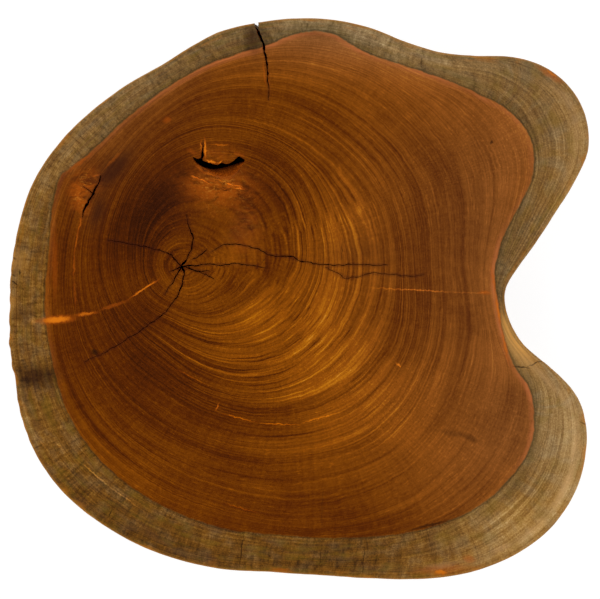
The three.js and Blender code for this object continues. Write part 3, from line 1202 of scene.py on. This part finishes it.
@dataclass(frozen=True)
class EndGrain:
    """Sanded and oiled end grain: amber heartwood inside a band of olive-brown sapwood.

    Sanding leaves it flat and the oil makes it satin and deep, so the eye sees its rings and rays
    before its gloss. A ring is 2 to 8 mm wide. A ray is under 0.5 mm wide, too fine to show, so rays are
    drawn 2 to 5 mm wide at the rim.
    """

    heart_clear: Ramp = (
        (0.08, "140501"), (0.25, "401801"), (0.36, "5c2600"), (0.45, "733800"), (0.53, "874602"),
        (0.60, "994f03"), (0.78, "c77608"), (0.95, "f0ae48"))
    # The heartwood's colours under the painted sheen: paler and greyer.
    heart_sheened: Ramp = (
        (0.08, "140906"), (0.25, "40200e"), (0.36, "5c3218"), (0.45, "734522"), (0.53, "87552c"),
        (0.60, "996236"), (0.78, "c78a4c"), (0.95, "f0c48c"))
    sap_clear: Ramp = (
        (0.10, "1a0e06"), (0.25, "40260d"), (0.40, "664012"), (0.48, "7c4f18"), (0.58, "966726"),
        (0.72, "ba8a42"), (0.90, "e6c080"))
    # The sapwood's colours under the painted sheen: paler and greyer.
    sap_sheened: Ramp = (
        (0.10, "1a1510"), (0.25, "403320"), (0.40, "665033"), (0.48, "7a6240"), (0.58, "94774f"),
        (0.72, "b89a6c"), (0.90, "e6cca0"))
    # The pale rings, each with its age in mm and its strength. A colour ramp holds 32 stops, and a ring
    # takes three, so they are in three groups.
    pale_rings: tuple[tuple[tuple[float, float], ...], ...] = (
        ((13, 0.4), (21, 0.5), (30, 0.4), (41, 0.4), (52, 0.4), (59.7, 0.9), (66.5, 0.7), (74, 0.4),
         (84, 0.4)),
        ((97, 0.9), (106.4, 0.9), (112.3, 1.0), (122.2, 0.9), (131, 0.6), (136, 0.4), (145, 0.4)),
        ((163, 0.4), (172, 0.4), (182, 0.8), (190.5, 0.9), (204, 0.4), (217, 0.5), (229, 0.5)),
    )
    roughness: float = 0.42

    def material(self) -> bpy.types.Material:
        """Builds the node tree.

        Returns:
            The finished material.
        """
        sheet = NodeSheet.of("oiled_end_grain")
        put = sheet.put
        grain = Grain.of(sheet)
        outer = put("MapRange", {0: grain.edge, 1: -0.6, 2: 0.6})
        colour = put("Mix", {0: outer, 6: self.heart(grain), 7: self.sap(grain)}, out=2, data_type="RGBA")
        for layer in (self.border, self.gnarled, self.marks, self.rim):
            colour = layer(grain, colour)
        bump = put("Bump", {"Height": grain.pores, "Strength": 0.10, "Distance": 0.0004}, out="Normal")
        sheen = put("MapRange", {0: grain.pores, 1: 0.3, 2: 0.7, 3: self.roughness - 0.04,
                                 4: self.roughness + 0.08})
        shader = put("BsdfPrincipled", {"Base Color": colour, "Roughness": sheen, "IOR": 1.45,
                                        "Specular IOR Level": 0.1, "Normal": bump})
        put("OutputMaterial", {"Surface": shader})
        return bpy.data.materials["oiled_end_grain"]

    def heart(self, grain: Grain) -> Socket:
        """Colours the heartwood: broad bands, thin rings, pale ring lines and specks in the pores.

        Args:
            grain: what it is drawn on.

        Returns:
            The colour.
        """
        sheet, put, read = grain.sheet, grain.sheet.put, grain.read
        bands = grain.woven(0.6, 11)
        rings = grain.woven(0.6, 3.4, 2.0)
        threads = grain.woven(1.3, 1.5, 2.0)
        flecks = grain.woven(34, 1.3)
        rays = grain.woven(70, 22, 2.0)
        crisp = put("MapRange", {0: rings, 1: 0.36, 2: 0.64})
        thin = put("MapRange", {0: threads, 1: 0.60, 2: 0.76})
        gully = put("MapRange", {0: threads, 1: 0.40, 2: 0.26})
        patchy = put("MapRange", {0: grain.woven(1.2, 16), 1: 0.36, 2: 0.60, 3: 0.4})
        lines = sheet.raised(0.0, *((grain.ring_lines(group), patchy) for group in self.pale_rings))
        tilt = sheet.layered(0.0, (bands, 0.30), (crisp, 0.08), (threads, 0.38))
        tilt = sheet.raised(tilt, (thin, 0.10), (gully, -0.08), (lines, 0.20))
        young = put("MapRange", {0: grain.edge, 1: -11.0, 2: -1.0, 4: 0.09})
        specks = put("MapRange", {0: flecks, 1: 0.62, 2: 0.78})
        tone = sheet.raised(read["heart_tone"], (tilt, read["gain"]), (young, read["glow"]), (specks, 0.07))
        tone = sheet.layered(tone, (flecks, 0.10), (rays, 0.10), (grain.pores, 0.15), (grain.cloud, 0.16))
        # Mixed towards the paler, greyer colours where the sheen is painted.
        return sheet.toned(tone, self.heart_clear, self.heart_sheened, read["painted_sheen"])

    def sap(self, grain: Grain) -> Socket:
        """Colours the sapwood: rays drawn out to the rim, over blotches and faint rings.

        Args:
            grain: what it is drawn on.

        Returns:
            The colour.
        """
        sheet, put, read = grain.sheet, grain.sheet.put, grain.read
        rings = grain.woven(1.3, 3.0, 2.0)
        threads = grain.woven(3.0, 1.2)
        fine_rays = grain.woven(95, 24)
        rays = grain.woven(44, 32, 2.0)
        blotches = grain.woven(11, 26, 3.0)
        # Blotches 4 mm across.
        mottle = put("TexNoise", {"Vector": grain.place, "Scale": 0.24, "Detail": 4.0})
        streaky = sheet.layered(0.0, (fine_rays, 0.26), (rays, 0.18), (blotches, 0.12), (mottle, 0.24))
        ticks = put("MapRange", {0: fine_rays, 1: 0.36, 2: 0.26, 4: -0.06})
        calm = put("Math", {0: 1.0, 1: read["ray_gain"]}, operation="SUBTRACT")
        grown = sheet.layered(0.0, (threads, 0.12), (rings, 0.16))
        tone = sheet.layered(read["sap_tone"], (rings, 0.20), (threads, 0.22), (grain.pores, 0.36))
        tone = sheet.raised(tone, (streaky, read["ray_gain"]), (ticks, read["ray_gain"]), (grown, calm))
        # The painted sheen, with the sapwood's own random grey patches added to it.
        grey = put("MapRange", {0: grain.woven(17, 15, 2.0), 1: 0.45, 2: 0.7, 4: 0.4})
        sheen_and_grey = put("Math", {0: read["painted_sheen"], 1: grey}, operation="ADD", use_clamp=True)
        colour = sheet.toned(tone, self.sap_clear, self.sap_sheened, sheen_and_grey)
        olive = put("MapRange", {0: grain.woven(12, 10, 2.0), 1: 0.5, 2: 0.7})
        colour = sheet.painted(colour, "7c6218", 0.3, olive)
        dusk = put("MapRange", {0: grain.woven(9, 14, 2.0), 1: 0.54, 2: 0.72})
        return sheet.painted(colour, "4a3026", 0.4, dusk, read["ray_gain"])

    def border(self, grain: Grain, colour: Socket) -> Socket:
        """Draws the border of heartwood and sapwood: a torn pink line, a seam, and a dusky zone beyond it.

        Args:
            grain: what it is drawn on.
            colour: what it is laid over.

        Returns:
            The colour with the border.
        """
        sheet, put, read, edge = grain.sheet, grain.sheet.put, grain.read, grain.edge
        pink = put("MapRange", {0: edge, 1: -4.4, 2: -1.2})
        inside = put("MapRange", {0: edge, 1: 0.2, 2: -0.6})
        outside = put("MapRange", {0: edge, 1: 0.0, 2: 0.6})
        torn = put("MapRange", {0: grain.woven(7, 9, 3.0, steady=True), 1: 0.36, 2: 0.6, 3: 0.35})
        colour = sheet.painted(colour, "c87040", 0.9, pink, inside, read["glow"], torn)
        colour = sheet.painted(colour, "2c1a0c", 0.5, sheet.band(edge, 0.6, 0.1, 1.0))
        shade = put("MapRange", {0: edge, 1: 0.5, 2: 9.0, 3: 1.0, 4: 0.0})
        # The dusky zone shows only where the sheen is painted.
        colour = sheet.painted(colour, "4c4024", 0.75, shade, outside, read["painted_sheen"])
        return sheet.painted(colour, "d89c50", 0.95, read["honey"], outside, torn)

    def gnarled(self, grain: Grain, colour: Socket) -> Socket:
        """Curls orange, dark and pale grain into each other where the wood is gnarled.

        Args:
            grain: what it is drawn on.
            colour: what it is laid over.

        Returns:
            The colour with the gnarls.
        """
        sheet, put, burl = grain.sheet, grain.sheet.put, grain.read["burl"]
        flat = put("VectorMath", {0: grain.place, 1: (0.6, 1.2, 1)}, operation="MULTIPLY")
        colour = sheet.painted(colour, "a04c0a", 0.4, burl)
        # Curls 8 mm across, with fibres 2 mm apart in them.
        curls = put("TexNoise", {"Vector": flat, "Scale": 0.13, "Detail": 3.0, "Distortion": 1.2})
        fibres = put("TexNoise", {"Vector": flat, "Scale": 0.45, "Detail": 2.0, "Distortion": 1.6})
        for pattern, low, high, paint, strength in (
            (curls, 0.40, 0.58, "b8580c", 0.8),
            (curls, 0.42, 0.30, "481c08", 0.5),
            (fibres, 0.56, 0.70, "d88a2c", 0.5),
            (fibres, 0.42, 0.30, "4a1a08", 0.3),
        ):
            where = put("MapRange", {0: pattern, 1: low, 2: high})
            colour = sheet.painted(colour, paint, strength, where, burl)
        return colour

    def marks(self, grain: Grain, colour: Socket) -> Socket:
        """Lays the stains and the streaks over the wood.

        Args:
            grain: what they are drawn on.
            colour: what they are laid over.

        Returns:
            The colour with the marks.
        """
        sheet, put = grain.sheet, grain.sheet.put
        colour = sheet.painted(colour, "2e130c", 0.85, grain.read["stain"])
        flame = sheet.streaks(grain.place, FLAMES)
        colour = sheet.painted(colour, "b4540c", 0.9, flame)
        colour = sheet.painted(colour, "e88014", 0.85, put("MapRange", {0: flame, 1: 0.5, 2: 1.0}))
        lit = put("VectorMath", {0: colour, "Scale": 3.4}, operation="SCALE")
        pale = sheet.streaks(grain.place, PALE_STREAKS)
        colour = put("Mix", {0: pale, 6: colour, 7: lit}, out=2, data_type="RGBA")
        return sheet.painted(colour, "1c0a04", 0.85, sheet.streaks(grain.place, DARK_STREAKS))

    def rim(self, grain: Grain, colour: Socket) -> Socket:
        """Colours the wood's outer edges: a bloom, rusty spots, an orange-brown line at the rim that is
        partly a painted highlight, and darkening beside the splits.

        Args:
            grain: what they are drawn on.
            colour: what they are laid over.

        Returns:
            The colour with its edges.
        """
        sheet, put, read = grain.sheet, grain.sheet.put, grain.read
        ring = sheet.band(read["from_rim"], 8.5, 0.3, 4.4, interpolation_type="SMOOTHSTEP")
        broken = put("MapRange", {0: grain.woven(9, 7, 3.0, steady=True), 1: 0.38, 2: 0.6, 3: 0.2})
        colour = sheet.painted(colour, "d8aa74", 0.55, ring, broken, read["bloom"])
        near = put("MapRange", {0: read["from_rim"], 1: 1.0, 2: 7.0, 3: 1.0, 4: 0.0})
        spots = put("MapRange", {0: grain.woven(15, 12, 2.0, steady=True), 1: 0.54, 2: 0.68})
        colour = sheet.painted(colour, "b46c1c", 0.6, spots, near)
        # An orange-brown line at the rim: partly the rim's own colour, and partly a painted highlight where
        # the rounded arris catches the light.
        brim = put("MapRange", {0: read["from_rim"], 1: 1.2, 2: 2.6, 3: 1.0, 4: 0.0})
        colour = sheet.painted(colour, "b07420", 0.6, brim, read["ray_gain"])
        # Darker within about 2 mm of a split.
        beside_split = put("MapRange", {0: read["from_split"], 1: 0.3, 2: 1.8, 3: 1.0, 4: 0.0})
        return sheet.painted(colour, "38120a", 0.45, beside_split)


@dataclass(frozen=True)
class LiveEdge:
    """The trunk's own surface with its bark off: dry, fibrous wood, weathered in streaks up the trunk.

    It isn't sanded, so it is matt, and its fibres make fine ridges about 1 mm apart. Each pattern is nine
    times as long up the trunk as it is wide.
    """

    shades: Ramp = ((0.30, "4c3720"), (0.45, "6e5230"), (0.58, "8a673e"), (0.75, "ac8858"))
    roughness: float = 0.75
    fibres: float = 0.9  # cells in each mm, as below; real fibres are too fine to show
    seams: float = 0.3
    rust: float = 0.11
    streaks: float = 0.07

    def material(self) -> bpy.types.Material:
        """Builds the node tree.

        Returns:
            The finished material.
        """
        sheet = NodeSheet.of("debarked_live_edge")
        put = sheet.put
        place = put("VectorMath", {0: put("TexCoord", {}, out="Object"), 1: (1000, 1000, 110)},
                    operation="MULTIPLY")
        fine = put("TexNoise", {"Vector": place, "Scale": self.fibres, "Detail": 4.0, "Distortion": 0.3})
        broad = put("TexNoise", {"Vector": place, "Scale": self.streaks, "Detail": 4.0, "Distortion": 0.5})
        tone = sheet.layered(0.5, (fine, 0.42), (broad, 0.5))
        colour = put("ValToRGB", {0: tone}, stops=self.shades)
        seam = put("TexNoise", {"Vector": place, "Scale": self.seams, "Detail": 2.0})
        colour = sheet.painted(colour, "241810", 0.6, put("MapRange", {0: seam, 1: 0.64, 2: 0.72}))
        rust = put("TexNoise", {"Vector": place, "Scale": self.rust, "Detail": 3.0})
        colour = sheet.painted(colour, "84501c", 0.6, put("MapRange", {0: rust, 1: 0.52, 2: 0.66}))
        bump = put("Bump", {"Height": fine, "Strength": 0.5, "Distance": 0.0006}, out="Normal")
        shader = put("BsdfPrincipled", {"Base Color": colour, "Roughness": self.roughness, "IOR": 1.45,
                                        "Specular IOR Level": 0.3, "Normal": bump})
        put("OutputMaterial", {"Surface": shader})
        return bpy.data.materials["debarked_live_edge"]


@dataclass(frozen=True)
class RawSplit:
    """The torn wall of a crack or a knot's socket: unsanded wood, with painted shade deep down.

    It is dull and ragged, reddish brown near the face, and painted shade takes it almost black further down
    in the crack. Its splinters are two and a half times as deep as they are wide.
    """

    shades: Ramp = ((0.3, "6e2c06"), (0.5, "823a08"), (0.7, "98480c"))
    # The near-black of the painted shade deep in a crack.
    dark: str = "0c0402"
    fade_from: float = 0.8  # mm below the face at which the painted shade starts to darken the wall
    fade_to: float = 4.6  # mm below the face at which the painted shade is full
    splinters: float = 0.7  # cells in each mm

    def material(self) -> bpy.types.Material:
        """Builds the node tree.

        Returns:
            The finished material.
        """
        sheet = NodeSheet.of("torn_split_wall")
        put = sheet.put
        spot = put("TexCoord", {}, out="Object")
        place = put("VectorMath", {0: spot, 1: (1000, 1000, 400)}, operation="MULTIPLY")
        grain = put("TexNoise", {"Vector": place, "Scale": self.splinters, "Detail": 4.0})
        _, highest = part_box(NODE)
        down = put("MapRange", {0: put("SeparateXYZ", {0: spot}, out="Z"),
                                1: highest.z - self.fade_from * MM, 2: highest.z - self.fade_to * MM})
        # Painted shade: the wall turns near black with depth below the face.
        colour = sheet.painted(put("ValToRGB", {0: grain}, stops=self.shades), self.dark, 1.0, down)
        bump = put("Bump", {"Height": grain, "Strength": 0.4, "Distance": 0.0005}, out="Normal")
        shader = put("BsdfPrincipled", {"Base Color": colour, "Roughness": 0.85, "IOR": 1.45,
                                        "Specular IOR Level": 0.0, "Normal": bump})
        put("OutputMaterial", {"Surface": shader})
        return bpy.data.materials["torn_split_wall"]


@dataclass
class Studio:
    """A pale floor, soft light from all round and a camera straight above the board."""

    frame_width: float = 0.4322  # metres of the top face across the picture
    lens: float = 100.0  # mm
    sensor: float = 36.0  # mm
    aim: tuple[float, float] = (0.0007, -0.0004)
    floor_reach: float = 6.0  # metres from the board to each side
    floor_gap: float = 0.5  # mm under the board, so that the two never lie in one plane
    floor_paint: str = "909090"
    floor_glow: float = 0.86
    sky_strength: float = 2.0
    sky_fade: tuple[float, float] = (0.5, 0.82)  # the heights where its light starts to fade and is gone

    def build(self) -> None:
        """Makes the floor, the light and the camera."""
        self.floor()
        self.sky()
        self.camera()
        bpy.context.scene.view_settings.view_transform = "Standard"

    def floor(self) -> None:
        """A wide pale sheet that the board lies on."""
        mesh = bmesh.new()
        bmesh.ops.create_grid(mesh, x_segments=1, y_segments=1, size=self.floor_reach)
        bmesh.ops.translate(mesh, verts=mesh.verts[:], vec=(0, 0, -self.floor_gap * MM))
        sheet = new_object("floor", mesh)
        paint = NodeSheet.of("pale_floor_paper")
        shader = paint.put("BsdfPrincipled", {"Base Color": linear(self.floor_paint), "Roughness": 0.9,
                                              "Specular IOR Level": 0.1, "Emission Color": (1, 1, 1, 1),
                                              "Emission Strength": self.floor_glow})
        paint.put("OutputMaterial", {"Surface": shader})
        sheet.data.materials.append(bpy.data.materials["pale_floor_paper"])

    def sky(self) -> None:
        """Light from all round, white near the horizon and dark overhead, so that the face has no glare."""
        world = bpy.data.worlds.new("soft_room")
        bpy.context.scene.world = world
        world.use_nodes = True
        world.node_tree.nodes.clear()
        put = NodeSheet(world.node_tree).put
        fade, gone = self.sky_fade
        height = put("SeparateXYZ", {0: put("TexCoord", {}, out="Generated")}, out="Z")
        glow = put("MapRange", {0: height, 1: fade, 2: gone, 3: self.sky_strength, 4: 0.0},
                   interpolation_type="SMOOTHSTEP")
        light = put("Background", {"Color": (1, 1, 1, 1), "Strength": glow})
        put("OutputWorld", {"Surface": light})

    def camera(self) -> None:
        """A long lens straight above the middle of the board, with +Y at the top of the picture."""
        _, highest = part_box(NODE)
        camera = bpy.data.cameras.new("camera")
        camera.lens = self.lens
        camera.sensor_width = self.sensor
        made = bpy.data.objects.new("camera", camera)
        bpy.context.scene.collection.objects.link(made)
        distance = self.frame_width * self.lens / self.sensor
        made.location = (self.aim[0], self.aim[1], highest.z + distance)
        bpy.context.scene.camera = made


def main() -> None:
    """Builds the board and its studio, and reports each piece."""
    logging.basicConfig(level=logging.INFO, format="%(name)s: %(message)s")
    Studio().build()
    growth = Growth.from_frame()
    rim = growth.radii[-1]
    LOG.info("rim read from the CAD slab: %.0f to %.0f mm from the pith", rim.min(), rim.max())
    slab = TrunkSlice(growth).build()
    finishes = {Face.END_GRAIN: EndGrain(), Face.LIVE_EDGE: LiveEdge(), Face.RAW_SPLIT: RawSplit()}
    for face in Face:
        slab.data.materials.append(finishes[face].material())
        LOG.info("%s: %s", face.name.lower(), slab.data.materials[-1].name)
    slab.data.shade_smooth()
    slab.data.set_sharp_from_angle(angle=math.radians(SHARP_ANGLE))
    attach(slab, BODY)
    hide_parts(NODE)
    LOG.info("%s: %d faces", slab.name, len(slab.data.polygons))


if __name__ == "__main__":
    main()
